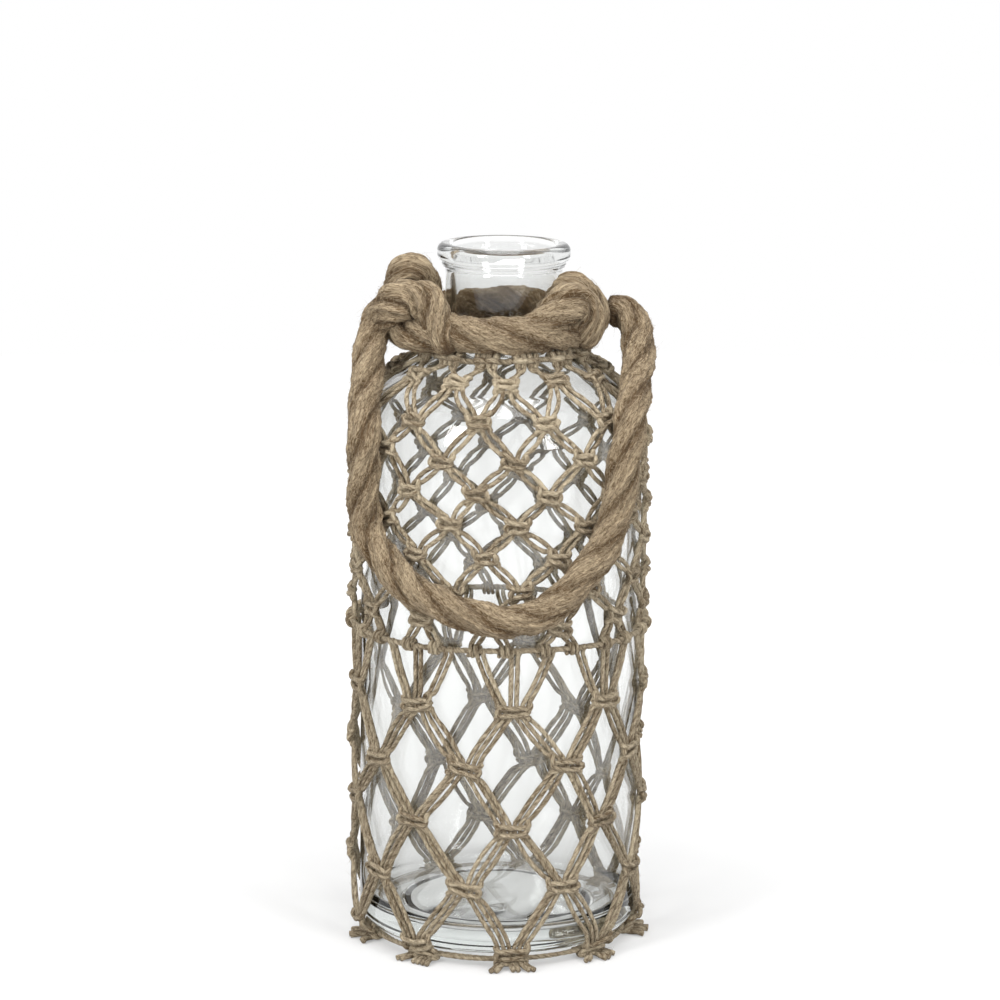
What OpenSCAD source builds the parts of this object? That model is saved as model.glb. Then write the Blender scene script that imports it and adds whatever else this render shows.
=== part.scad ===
// Glass bottle vase in a hand-knotted jute net, with a rope collar and a rope carrying handle.
// The origin is the centre of the bottle's underside, +Z is up and -Y is the front,
// where the handle hangs. Millimetres.

/* [Bottle] */
// Height of the glass, from the middle of its underside to the top of the lip
glass_h = 298.5; // [292:0.5:312]
// Outer diameter of the body
body_d = 121; // [116:0.5:125]
// Distance from the top of the lip down to where the straight wall ends and the shoulder begins
shoulder_drop = 81.5; // [79:0.5:88]
// Radius of the shoulder's curve
shoulder_round = 27.6; // [25:0.1:29]
// Fall of the shoulder's upper slope, in degrees below level
shoulder_slope = 34.5; // [33:0.5:38]
// Outer diameter of the neck
neck_d = 50; // [46:0.5:52]
// Radius of the hollow where the shoulder meets the neck
neck_fillet = 6; // [5:0.1:7]
// Radius of the rounded edge between the wall and the underside
heel_round = 9; // [7:0.1:9.5]
// Thickness of the glass wall
wall = 3.2; // [2.6:0.1:3.8]
// Thickness of the glass at the edge of the bottle's floor
base_t = 9; // [7:0.5:11]
// Rise of the floor inside, from its edge to its middle
floor_rise = 2.5; // [1:0.1:4]
// Radius inside, where the floor meets the wall
inner_heel_round = 8; // [5:0.5:10]
// Depth of the flat panel in the underside, inside its bearing ring
panel_depth = 1; // [0.6:0.1:1.4]
// Radius of the flat panel in the underside
panel_r = 41; // [36:0.5:43]

/* [Lip] */
// Outer diameter of the lip
lip_d = 57; // [56:0.5:60]
// Height of the lip
lip_h = 7.3; // [6.4:0.1:8]
// Rounding of the lip's outer and inner top edges
lip_round = 3; // [2.4:0.1:3.1]
// Rounding of the lip's lower edge
lip_under_round = 2; // [1:0.1:2.5]
// Outer diameter of the step under the lip
step_d = 53.2; // [52.8:0.2:54.8]
// Height of the step under the lip
step_h = 2.6; // [1.6:0.2:3.4]

/* [Rope] */
// Diameter of the rope of the collar and the handle
rope_d = 13; // [12:0.5:14]
// Height of the middle of the collar over the foot of the neck
collar_up = 5.5; // [5:0.1:8]
// Height of the handle's turning axis over the middle of the collar
hinge_rise = 6.5; // [6:0.1:7]
// Distance of the handle's turning axis in front of the bottle's axis
hinge_forward = 4; // [3:0.5:5]
// Diameter of the handle's ends, drawn tight inside the knots
handle_end_d = 10; // [8:0.5:10]
// Diameter of the rope drawn tight in the knots
knot_rope_d = 11.6; // [10:0.2:12]
// Diameter of the short rope end looped over the left knot
lobe_rope_d = 8.6; // [7:0.2:9]
// Inner radius of that loop's turn
lobe_inner_r = 0.3; // [0.2:0.1:0.6]

/* [Upper net] */
// Columns of knots in the upper net
upper_cols = 13; // [10:1:13]
// Height of the first row over the foot of the shoulder's slope
first_row_up = 2.8; // [2:0.1:5]
// Height of the lowest upper row over the leader cord
upper_first = 11.3; // [11:0.1:14]
// Height of the top cord over the first row
top_gap = 10; // [9:0.1:11]
// Turn of the first knot of the first row from the front
upper_turn = 2.5; // [-10:0.5:10]
// Turn that each row gains on the row over it, as the knotting creeps round
row_creep = 1; // [0:0.1:1.5]
// Diameter of the twine of the net
twine_d = 2; // [1.6:0.1:2.2]
// Diameter of the wraps of an upper knot
upper_knot_d = 3.8; // [3.4:0.1:4]
// Length of an upper knot's wraps
upper_knot_l = 9; // [8:0.1:9.6]

/* [Lower net] */
// Height of the leader cord, the level ring that parts the two nets
leader_z = 134.3; // [130:0.1:136]
// Diameter of the leader cord
leader_d = 2.6; // [2.2:0.1:3]
// Columns of knots in the lower net
lower_cols = 9; // [7:1:9]
// Drop from the leader cord to the first lower row
lower_first = 25.3; // [24:0.1:26]
// Height of the lowest row over the underside of the glass
last_row_up = 3.8; // [3.4:0.1:6]
// Turn of the first knot of the first lower row from the front
lower_turn = 6; // [-10:0.5:10]
// Diameter of the wraps of a lower knot
lower_knot_d = 4.4; // [4:0.1:4.6]
// Length of a lower knot's wraps
lower_knot_l = 13.5; // [13:0.1:14]

/* [Base] */
// Diameter of the knots that the vase stands on
foot_d = 6; // [5.4:0.1:6.4]
// Length of those knots
foot_l = 13; // [11:0.5:14]
// Depth to which they are pressed flat where they stand
foot_flat = 0.5; // [0.3:0.1:0.8]
// Angle of the foot knots out from under the rounded heel
foot_angle = 19; // [16:0.5:22]
// Length of the cut cord ends at the foot knots
tail_l = 9; // [6:0.5:10]

/* [Hidden] */
$fn = 48;

// Rows of knots in each net
upper_rows = 8;
lower_rows = 5;
// Gap between pieces that lie on each other, and the running gap of the handle's ends
rest_gap = 0.3;
// Spread of cords over the space that their bend on round glass needs
bend_gap = 0.1;
// Facets along each of the glass's curves
curve_steps = 12;
jute = "#9b8768";
jute_pale = "#ab9878";
glass_tint = [0.82, 0.86, 0.85, 0.35];

// Glass outline: the shoulder is an arc, a straight slope and a hollow up to the neck
body_r = body_d / 2;
neck_r = neck_d / 2;
bore_r = neck_r - wall;
lip_r = lip_d / 2;
step_r = step_d / 2;
shoulder_c = body_r - shoulder_round;
body_h = glass_h - shoulder_drop;
slope_in = [shoulder_c + shoulder_round * sin(shoulder_slope), body_h + shoulder_round * cos(shoulder_slope)];
hollow_c = [neck_r + neck_fillet, slope_in[1]
    + (neck_fillet - (neck_r + neck_fillet - slope_in[0]) * sin(shoulder_slope)) / cos(shoulder_slope)];
slope_out = hollow_c - neck_fillet * [sin(shoulder_slope), cos(shoulder_slope)];
heel_c = [body_r - heel_round, heel_round - panel_depth];
lip_z = glass_h - lip_h;
step_z = lip_z - step_h;

// Rope places
// Distances of the knots' turns out from the inner ends of the handle
knot_out = [1.4, 0.4];
// Shift of the left knot's loop along the hinge, and its lift over the knot
lobe_shift = 1.5;
lobe_lift = 1.6;
// Angle round the neck of the right knot's second turn, and its shift out and up from the collar
second_turn_az = 62;
second_turn_shift = 2;
// Share of a bar's radius that its sloped ends take
bevel_share = 0.35;
rope_r = rope_d / 2;
collar_z = hollow_c[1] + collar_up;
collar_r = neck_r + rest_gap + rope_r;
hinge = [0, -hinge_forward, collar_z + hinge_rise];
end_r = handle_end_d / 2;
knot_rope_r = knot_rope_d / 2;
knot_wrap_r = end_r + rest_gap + knot_rope_r;
collar_out = collar_r + rope_r + rest_gap;
left_knot_x = -(collar_out + knot_out[0]);
right_knot_x = collar_out + knot_out[1];
lobe_rope_r = lobe_rope_d / 2;
lobe_r = lobe_rope_r + lobe_inner_r;

// Net places
// Height over the glass of the room kept for the net's cords
net_over = twine_d + 3 * rest_gap;
// Share of a cord's radius by which its sloping end comes lower than its axis
end_reach = 0.85;
// Shares of the knot's cord places, and of the gap over a knot, on the steep slope at the top cord
top_spread = 0.8;
top_reach = 0.72;
// Share of a cord's width between the two cords of a hitch on the leader cord, from its middle
hitch_spread = 0.6;
twine_r = twine_d / 2;
leader_r = leader_d / 2;
upper_step = 360 / upper_cols;
lower_step = 360 / lower_cols;
upper_reach = upper_knot_d / 2;
lower_reach = lower_knot_d / 2;
// A knot is two wraps, one over the other, a little sunk into each other
wrap_rise = 0.42;
hitch_r = 2.2;
hitch_l = 5;
top_hitch_l = 7;
// Places of the cords along a knot, from its middle
upper_cord_x = [1.2, 3.6];
lower_cord_x = [1.0, 3.8, 6.6];
centre_cord_x = 1.3;

// Base places
foot_r = foot_d / 2;
foot_c = heel_c + (heel_round + rest_gap + foot_r) * [sin(foot_angle), -cos(foot_angle)];
floor_z = foot_c[1] - foot_r + foot_flat;
ring_r = twine_r;
// Places of the two turns of the ring cord, out and up from the middle of the foot knots
ring_shift = [[-1.9, 0.7], [0.5, 1.3]];
ring_places = [for (shift = ring_shift) foot_c + shift];
// Places of the cut ends along a foot knot, their spread to the sides, their droop and their lift
tail_x = [-5, 0.8, 5.4];
tail_fan = [-16, 4, 14];
tail_droop = 4;
tail_lift = 0.8;
// Places of the six short cords along a knot of the lowest row, and where they meet the foot knots
fringe_x = [-5:2:5];
fringe_angle = 60;

// Centreline of the handle's rope, from the left knot round the front to the right knot: sideways, in front
// of the hinge and over it, for a body of the diameter it was laid out on
route_body_d = 121;
handle_route = [[-47.5, 0, 0], [-50, -0.5, -1], [-52.5, -2, -3], [-54.5, -5, -6.5],
    [-55.5, -8.5, -11], [-56.5, -14.5, -18.5], [-57.5, -22, -28.5], [-58, -31.5, -38.5],
    [-58, -38, -47.5], [-58, -39.5, -57], [-58, -39.5, -67.5], [-58, -39.5, -78], [-57, -41, -87],
    [-54, -44.5, -93], [-49, -49.5, -99.5], [-43.5, -54, -105.5], [-36.5, -58.5, -110.5],
    [-29, -62.5, -114], [-20.5, -65.5, -117], [-11.5, -67.5, -119.5], [-2, -68.5, -121.5],
    [8, -68, -121], [17.5, -66.5, -118.5], [26, -63.5, -112.5], [32.5, -61, -105.5], [38.5, -57.5, -99],
    [43.5, -54, -91], [47, -51, -82.5], [49, -49.5, -73], [50.5, -48, -62.5], [52, -46, -52.5],
    [53.5, -41.5, -43.5], [55, -33.5, -35], [56.5, -24, -27], [57.5, -15.5, -20], [57.5, -9.5, -14],
    [57, -5.5, -9], [54.5, -2.5, -4], [51, -0.5, -1], [47.5, 0, 0]];
handle_path = [for (p = handle_route) hinge + p * body_d / route_body_d];
handle_sides = 12;
// Direction that sets how the rings of the rope are turned about its path
ring_turn = [0, -0.48, 0.88];
// The rope swells from its tight end to its full diameter over the first rings
swell = [0.25, 0.7];
// Depth to which the tight ends run on into the rope
end_overlap = 1;

function arc(c, r, a0, a1, n = curve_steps) =
    [for (i = [0:n]) let (a = a0 + (a1 - a0) * i / n) c + r * [cos(a), sin(a)]];

// Radius of the glass at height z
function skin_r(z) =
    z < heel_c[1] ? heel_c[0] + sqrt(max(0, pow(heel_round, 2) - pow(heel_c[1] - z, 2)))
    : z < body_h ? body_r
    : z < slope_in[1] ? shoulder_c + sqrt(pow(shoulder_round, 2) - pow(z - body_h, 2))
    : z < slope_out[1] ? slope_in[0] - (z - slope_in[1]) / tan(shoulder_slope)
    : z < hollow_c[1] ? hollow_c[0] - sqrt(pow(neck_fillet, 2) - pow(hollow_c[1] - z, 2))
    : neck_r;

// Upward tilt of the glass's outward normal at height z
function skin_tilt(z) =
    z < heel_c[1] ? -asin(min(1, (heel_c[1] - z) / heel_round))
    : z < body_h ? 0
    : z < slope_in[1] ? asin((z - body_h) / shoulder_round)
    : z < slope_out[1] ? 90 - shoulder_slope
    : z < hollow_c[1] ? asin((hollow_c[1] - z) / neck_fillet)
    : 0;

// Radius and height of a point that lies off the glass by a distance, square to its surface
function off_skin(z, off) = [skin_r(z) + off * cos(skin_tilt(z)), z + off * sin(skin_tilt(z))];
function turned(az, rz) = [rz[0] * sin(az), -rz[0] * cos(az), rz[1]];
function on_skin(az, z, off) = turned(az, off_skin(z, off));

// Angle round the bottle of a length x along it at height z
function swing(x, z) = x / skin_r(z) * 180 / PI;

// Room that a straight cord from za to zb needs over the rounded glass between them
function lift(za, zb, step) =
    let (m = ([skin_r(za), za] + [skin_r(zb), zb]) / 2, fall = max(0, skin_r(m[1]) - m[0]))
    rest_gap + twine_r + bend_gap + fall * cos(skin_tilt(m[1])) + skin_r(m[1]) * (1 - cos(step / 4));

upper_pitch = (slope_in[1] + first_row_up - leader_z - upper_first) / (upper_rows - 1);
lower_pitch = (leader_z - lower_first - last_row_up) / (lower_rows - 1);
function upper_z(k) = leader_z + upper_first + (upper_rows - k) * upper_pitch;
function row_z(k) = k == 0 ? upper_z(1) + top_gap : upper_z(k);
function row_az(k) = upper_turn + row_creep * (k - 1) + (k % 2 == 1 ? 0 : upper_step / 2);
function lower_z(k) = leader_z - lower_first - (k - 1) * lower_pitch;
function lower_az(k) = lower_turn + (k % 2 == 1 ? 0 : lower_step / 2);

// Height of a knot's top over its middle, and of the end of a cord that comes down to it
function knot_top(r) = r * (1 + wrap_rise * 2);
function arrive(r) = knot_top(r) + rest_gap + twine_r * end_reach;

function unit(v) = v / norm(v);

module strand(p, q, r = twine_r) {
    v = q - p;
    translate(p) rotate([0, acos(v[2] / norm(v)), atan2(v[1], v[0])]) cylinder(r = r, h = norm(v));
}

// A round bar with sloped ends, lying along X
module wrap_bar(l, r) {
    bevel = r * bevel_share;
    rotate([0, 90, 0]) rotate_extrude() polygon([[0, -l / 2], [r - bevel, -l / 2], [r, bevel - l / 2],
        [r, l / 2 - bevel], [r - bevel, l / 2], [0, l / 2]]);
}

module at_skin(az, z, off) {
    translate(on_skin(az, z, off)) rotate([0, 0, az]) rotate([-skin_tilt(z), 0, 0]) children();
}

module knot(az, z, l, r) {
    at_skin(az, z, rest_gap + r) for (side = [-1, 1])
        translate([0, 0, side * r * wrap_rise * 2]) wrap_bar(l, r);
}

module ring(rz, r) {
    rotate_extrude() translate(rz) circle(r = r, $fn = 32);
}

module glass_bottle() {
    color(glass_tint) rotate_extrude($fn = 96) polygon(concat(
        [[0, 0], [panel_r, 0], [panel_r + panel_depth, -panel_depth]],
        arc(heel_c, heel_round, -90, 0),
        arc([shoulder_c, body_h], shoulder_round, 0, 90 - shoulder_slope),
        arc(hollow_c, neck_fillet, 270 - shoulder_slope, 180),
        [[neck_r, step_z], [step_r, step_z + step_r - neck_r], [step_r, lip_z]],
        arc([lip_r - lip_under_round, lip_z + lip_under_round], lip_under_round, -90, 0, 5),
        arc([lip_r - lip_round, glass_h - lip_round], lip_round, 0, 90, 8),
        arc([bore_r + lip_round, glass_h - lip_round], lip_round, 90, 180, 8),
        arc(hollow_c, neck_fillet + wall, 180, 270 - shoulder_slope),
        arc([shoulder_c, body_h], shoulder_round - wall, 90 - shoulder_slope, 0),
        arc([body_r - wall - inner_heel_round, base_t + inner_heel_round], inner_heel_round, 0, -90),
        [[0, base_t + floor_rise]]));
}

module collar_solid(gap = 0) {
    ring([collar_r, collar_z], rope_r + gap);
}

module neck_collar() {
    color(jute) collar_solid();
}

// Room kept clear for the net on the shoulder and for its top cord under the collar
module net_room() {
    low = slope_in + net_over * [sin(shoulder_slope), cos(shoulder_slope)];
    high = slope_out + net_over * [sin(shoulder_slope), cos(shoulder_slope)];
    translate([0, 0, low[1]]) cylinder(h = high[1] - low[1], r1 = low[0], r2 = high[0], $fn = 96);
    translate([0, 0, low[1]]) cylinder(r = collar_r + second_turn_shift, h = collar_z - low[1], $fn = 96);
}

// A turn of rope round the end of the handle, beside the collar
module knot_turn(x) {
    translate([x, hinge[1], hinge[2]]) rotate([0, 90, 0]) ring([knot_wrap_r, 0], knot_rope_r);
}

module left_knot() {
    color(jute) difference() {
        union() {
            knot_turn(left_knot_x);
            translate(hinge + [left_knot_x + lobe_shift, lobe_r, knot_wrap_r + knot_rope_r + lobe_lift])
                ring([lobe_r, 0], lobe_rope_r);
        }
        collar_solid(rest_gap);
    }
}

module right_knot() {
    color(jute) difference() {
        union() {
            knot_turn(right_knot_x);
            rotate([0, 0, second_turn_az])
                translate([0, -collar_r - second_turn_shift, collar_z + second_turn_shift])
                rotate([0, 90, 0]) ring([rope_r + knot_rope_r, 0], knot_rope_r);
        }
        collar_solid(rest_gap);
        net_room();
        translate([0, 0, collar_z - 2 * rope_d]) cylinder(r = neck_r + rest_gap, h = 4 * rope_d, $fn = 96);
        translate([0, hinge[1], hinge[2]]) rotate([0, 90, 0])
            cylinder(r = end_r + rest_gap, h = right_knot_x + 2 * rope_d);
    }
}

// Rings of points round the handle's path, square to it and all turned the same way
function path_dir(i) = unit(handle_path[min(i + 1, len(handle_path) - 1)] - handle_path[max(i - 1, 0)]);
function path_r(i) = let (n = min(i, len(handle_path) - 1 - i))
    n < len(swell) ? end_r + (rope_r - end_r) * swell[n] : rope_r;
function path_ring(i) =
    let (t = i == 0 || i == len(handle_path) - 1 ? [-1, 0, 0] : path_dir(i), s = unit(cross(t, ring_turn)),
        u = cross(s, t))
    [for (j = [0:handle_sides - 1]) let (a = 360 * j / handle_sides)
        handle_path[i] + path_r(i) * (cos(a) * s + sin(a) * u)];

module handle_rope() {
    n = len(handle_path);
    m = handle_sides;
    color(jute) union() {
        polyhedron(points = [for (i = [0:n - 1]) each path_ring(i)], faces = concat(
            [[for (j = [0:m - 1]) m - 1 - j]],
            [for (i = [0:n - 2], j = [0:m - 1]) [i * m + j, (i + 1) * m + (j + 1) % m, (i + 1) * m + j]],
            [for (i = [0:n - 2], j = [0:m - 1]) [i * m + j, i * m + (j + 1) % m, (i + 1) * m + (j + 1) % m]],
            [[for (j = [0:m - 1]) (n - 1) * m + j]]));
        for (end = [handle_path[0], handle_path[n - 1]])
            translate([sign(end[0]) * collar_out, hinge[1], hinge[2]]) rotate([0, sign(end[0]) * 90, 0])
                cylinder(r = end_r, h = abs(end[0]) + end_overlap - collar_out);
    }
}

// Pairs of cords from the knots of row k down to the row under it
module upper_cords(k) {
    za = row_z(k) - upper_reach * wrap_rise;
    last = k == upper_rows;
    zb = last ? leader_z + hitch_r + rest_gap + twine_r * end_reach
        : row_z(k + 1) + arrive(upper_reach);
    off = lift(za, zb, upper_step);
    for (i = [0:upper_cols - 1], side = [-1, 1], n = [0, 1]) {
        az = row_az(k) + i * upper_step;
        goal = last ? az + side * (upper_step / 4 - row_creep) : az + side * upper_step / 2 + row_creep;
        shift = last ? upper_cord_x[n] - upper_cord_x[0] - twine_d * hitch_spread
            : -upper_cord_x[1 - n];
        strand(on_skin(az + side * swing(upper_cord_x[n], za), za, off),
            on_skin(goal + side * swing(shift, zb), zb, off));
    }
}

module upper_row(k) {
    color(jute_pale) union() {
        for (i = [0:upper_cols - 1]) knot(row_az(k) + i * upper_step, row_z(k), upper_knot_l, upper_reach);
        upper_cords(k);
    }
}

module net_top_cord() {
    z = row_z(0);
    color(jute_pale) union() {
        ring(off_skin(z, rest_gap + hitch_r), leader_r);
        for (i = [0:upper_cols - 1])
            at_skin(row_az(1) - upper_step / 2 + i * upper_step, z, rest_gap + hitch_r)
                wrap_bar(top_hitch_l, hitch_r);
        top_cords();
    }
}

// Pairs of cords from the top cord down to the first row
module top_cords() {
    za = row_z(0) - hitch_r * wrap_rise;
    zb = row_z(1) + arrive(upper_reach) * top_reach;
    off = lift(za, zb, upper_step);
    for (i = [0:upper_cols - 1], side = [-1, 1], n = [0, 1]) {
        az = row_az(1) - upper_step / 2 + i * upper_step;
        strand(on_skin(az + side * swing(upper_cord_x[n] * top_spread, za), za, off),
            on_skin(az + side * upper_step / 2 - side * swing(upper_cord_x[1 - n], zb), zb, off));
    }
}

// The leader cord, the hitches of the upper cords on it, and the cords that hang from it
module leader_cord() {
    z = leader_z;
    off = rest_gap + hitch_r;
    zb = lower_z(1) + arrive(lower_reach);
    drop = lift(z, zb, lower_step / 3);
    color(jute_pale) union() {
        ring(off_skin(z, off), leader_r);
        for (i = [0:upper_cols - 1], side = [-1, 1])
            at_skin(row_az(upper_rows) + i * upper_step + side * (upper_step / 4 - row_creep), z, off)
                wrap_bar(hitch_l, hitch_r);
        for (i = [0:lower_cols - 1], side = [-1, 0, 1], n = [-1, 1]) {
            az = lower_az(1) + i * lower_step;
            foot_x = side * (lower_cord_x[1] + lower_cord_x[2]) / 2 + n * centre_cord_x;
            strand(on_skin(az + side * lower_step / 3 + n * swing(centre_cord_x, z), z, drop),
                on_skin(az + swing(foot_x, zb), zb, drop));
        }
    }
}

// Bands of three cords from the knots of a lower row down to the next row
module lower_cords(k) {
    za = lower_z(k) - lower_reach * wrap_rise;
    zb = lower_z(k + 1) + arrive(lower_reach);
    off = lift(za, zb, lower_step);
    for (i = [0:lower_cols - 1], side = [-1, 1], n = [0:2]) {
        az = lower_az(k) + i * lower_step;
        strand(on_skin(az + side * swing(lower_cord_x[n], za), za, off),
            on_skin(az + side * lower_step / 2 - side * swing(lower_cord_x[2 - n], zb), zb, off));
    }
}

module lower_row(k) {
    color(jute_pale) union() {
        for (i = [0:lower_cols - 1])
            knot(lower_az(k) + i * lower_step, lower_z(k), lower_knot_l, lower_reach);
        if (k < lower_rows) lower_cords(k);
        else for (i = [0:lower_cols - 1], x = fringe_x) {
            az = lower_az(k) + i * lower_step + swing(x, lower_z(k));
            strand(on_skin(az, lower_z(k) - lower_reach * wrap_rise, rest_gap + lower_reach),
                turned(az, foot_c + (foot_r + rest_gap + twine_r) * [cos(fringe_angle), sin(fringe_angle)]));
        }
    }
}

module base_rings(gap = 0) {
    for (place = ring_places) ring(place, ring_r + gap);
}

module base_ring_cord() {
    color(jute) base_rings();
}

// The knots that the vase stands on, each with its cut cord ends
module base_knots() {
    color(jute) difference() {
        for (i = [0:lower_cols - 1]) rotate([0, 0, lower_az(lower_rows) + i * lower_step])
            translate([0, -foot_c[0], foot_c[1]]) union() {
                wrap_bar(foot_l, foot_r);
                for (n = [0:2]) translate([tail_x[n], 0, foot_flat + twine_r + tail_lift - foot_r])
                    rotate([0, 0, tail_fan[n]]) rotate([90 + tail_droop, 0, 0])
                    cylinder(r = twine_r, h = foot_r + tail_l);
            }
        base_rings(rest_gap);
        translate([0, 0, floor_z - foot_d]) cylinder(r = body_d, h = foot_d);
    }
}

module upper_row_1() { upper_row(1); }
module upper_row_2() { upper_row(2); }
module upper_row_3() { upper_row(3); }
module upper_row_4() { upper_row(4); }
module upper_row_5() { upper_row(5); }
module upper_row_6() { upper_row(6); }
module upper_row_7() { upper_row(7); }
module upper_row_8() { upper_row(8); }
module lower_row_1() { lower_row(1); }
module lower_row_2() { lower_row(2); }
module lower_row_3() { lower_row(3); }
module lower_row_4() { lower_row(4); }
module lower_row_5() { lower_row(5); }

glass_bottle();
neck_collar();
left_knot();
right_knot();
handle_rope();
net_top_cord();
upper_row_1();
upper_row_2();
upper_row_3();
upper_row_4();
upper_row_5();
upper_row_6();
upper_row_7();
upper_row_8();
leader_cord();
lower_row_1();
lower_row_2();
lower_row_3();
lower_row_4();
lower_row_5();
base_ring_cord();
base_knots();
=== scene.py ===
"""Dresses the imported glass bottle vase: its glass, its ropes and its hand-knotted jute net."""

from math import cos, pi, radians, sin, sqrt, tan

import bpy
import numpy as np
from mathutils import Matrix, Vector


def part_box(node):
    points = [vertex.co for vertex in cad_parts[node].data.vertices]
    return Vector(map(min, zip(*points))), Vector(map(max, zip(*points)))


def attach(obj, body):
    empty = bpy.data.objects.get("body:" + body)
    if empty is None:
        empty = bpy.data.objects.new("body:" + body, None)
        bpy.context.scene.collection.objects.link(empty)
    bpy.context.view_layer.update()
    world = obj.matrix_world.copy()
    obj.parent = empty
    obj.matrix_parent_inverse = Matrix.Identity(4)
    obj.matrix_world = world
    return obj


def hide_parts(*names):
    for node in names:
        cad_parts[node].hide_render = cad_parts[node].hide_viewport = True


bl_info = {
    "name": "Netted Bottle Vase",
    "version": (1, 0, 0),
    "blender": (4, 5, 0),
    "location": "View3D > Sidebar > Vase",
    "description": "Makes the glass, ropes and jute net of a bottle vase around its packed frame",
    "category": "Object",
}

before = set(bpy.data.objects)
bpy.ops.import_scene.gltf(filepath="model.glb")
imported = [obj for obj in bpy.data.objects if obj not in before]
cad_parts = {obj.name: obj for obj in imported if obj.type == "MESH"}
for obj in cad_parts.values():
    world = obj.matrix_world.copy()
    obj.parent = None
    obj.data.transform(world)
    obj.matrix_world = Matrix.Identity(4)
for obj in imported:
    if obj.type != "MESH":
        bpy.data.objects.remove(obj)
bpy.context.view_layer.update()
FLOOR_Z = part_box("base_knots")[0].z
MM = 0.001


# Shapes: points, paths and swept surfaces, worked out as whole arrays in millimetres.

def unit(v):
    """Each vector divided by its own length."""
    return v / np.maximum(np.linalg.norm(v, axis=-1, keepdims=True), 1e-9)


def smooth_path(points, step, closed=False):
    """A cubic through the points, each stretch a Hermite curve with the slope of its neighbours,
    then read off again at even distances."""
    p = np.asarray(points, float)
    if closed:
        p = np.vstack([p[-1:], p, p[:2]])
    else:
        p = np.vstack([2 * p[0] - p[1], p, 2 * p[-1] - p[-2]])
    gap = np.maximum(np.linalg.norm(np.diff(p, axis=0), axis=1), 1e-6) ** 0.5
    slope = ((p[1:-1] - p[:-2]) / gap[:-1, None] - (p[2:] - p[:-2]) / (gap[:-1] + gap[1:])[:, None]
             + (p[2:] - p[1:-1]) / gap[1:, None])
    a, b, d = p[1:-2], p[2:-1], gap[1:-1, None]
    t = np.linspace(0, 1, 24, endpoint=False)[:, None, None]
    m0, m1 = slope[:-1] * d, slope[1:] * d
    fine = ((2 * t ** 3 - 3 * t ** 2 + 1) * a + (t ** 3 - 2 * t ** 2 + t) * m0
            + (3 * t ** 2 - 2 * t ** 3) * b + (t ** 3 - t ** 2) * m1)
    fine = np.vstack([fine.transpose(1, 0, 2).reshape(-1, 3), p[-2:-1]])
    run = np.concatenate([[0], np.cumsum(np.linalg.norm(np.diff(fine, axis=0), axis=1))])
    n = max(2, int(round(run[-1] / step)))
    s = np.linspace(0, run[-1], n + 1)
    return np.stack([np.interp(s, run, fine[:, i]) for i in range(3)], 1), s


def carried_frame(path, first=(0.0, -0.48, 0.88), closed=False):
    """Tangents, and a side direction carried along them so that it turns as little as it can."""
    tangent = unit(np.gradient(path, axis=0))
    if closed:
        tangent[0] = tangent[-1] = unit(path[1] - path[-2])
    side = np.empty_like(path)
    v = np.asarray(first, float)
    for i, t in enumerate(tangent):
        v = v - t * (v @ t)
        v = v / max(np.linalg.norm(v), 1e-9)
        side[i] = v
    if closed:
        up = np.cross(tangent[-1], side[-1])
        gap = np.arctan2(side[0] @ up, side[0] @ side[-1])
        a = (gap * np.linspace(0, 1, len(path)))[:, None]
        side = side * np.cos(a) + np.cross(tangent, side) * np.sin(a)
    return tangent, side, np.cross(tangent, side)


def grid_faces(rows, cols, wrap_rows=False):
    """Quads of a grid whose columns close on themselves, facing outwards from the path."""
    i = np.arange(rows if wrap_rows else rows - 1)[:, None]
    j = np.arange(cols)[None, :]
    k, m = (i + 1) % rows, (j + 1) % cols
    return np.stack(np.broadcast_arrays(i * cols + j, i * cols + m, k * cols + m, k * cols + j), -1).reshape(-1, 4)


class Surface:
    """Gathers tubes and hairs: points, quads, triangles, the lay of the fibres and the painted shade, with some random
    tone, that darkens their colour.
    """

    def __init__(self):
        self.co, self.quads, self.tris, self.lay, self.shade_and_tone = [], [], [], [], []
        self.n = 0

    def add(self, co, quads, tris, lay, shade_and_tone):
        self.co.append(co)
        self.quads.append(np.asarray(quads, int).reshape(-1, 4) + self.n)
        self.tris.append(np.asarray(tris, int).reshape(-1, 3) + self.n)
        self.lay.append(lay)
        self.shade_and_tone.append(shade_and_tone)
        self.n += len(co)

    def build(self, name, body, material, slot):
        """One mesh object of all that was gathered, in metres, riding on its body."""
        co = np.vstack(self.co) * MM
        quads, tris = np.vstack(self.quads), np.vstack(self.tris)
        mesh = bpy.data.meshes.new(name)
        mesh.vertices.add(len(co))
        mesh.vertices.foreach_set("co", co.astype(np.float32).ravel())
        loops = np.concatenate([quads.ravel(), tris.ravel()])
        mesh.loops.add(len(loops))
        mesh.loops.foreach_set("vertex_index", loops.astype(np.int32))
        mesh.polygons.add(len(quads) + len(tris))
        start = np.concatenate([np.arange(len(quads)) * 4, len(quads) * 4 + np.arange(len(tris)) * 3])
        mesh.polygons.foreach_set("loop_start", start.astype(np.int32))
        mesh.update(calc_edges=True)
        mesh.validate()
        mesh.shade_smooth()
        if self.lay[0] is not None:
            lay = mesh.attributes.new("lay", "FLOAT_VECTOR", "POINT")
            lay.data.foreach_set("vector", (np.vstack(self.lay) * MM).astype(np.float32).ravel())
            shade_and_tone = mesh.attributes.new("shade_and_tone", "FLOAT", "POINT")
            shade_and_tone.data.foreach_set("value", np.concatenate(self.shade_and_tone).astype(np.float32))
        obj = bpy.data.objects.new(name, mesh)
        bpy.context.scene.collection.objects.link(obj)
        mesh.materials.append(material)
        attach(obj, body)
        return obj


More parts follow.
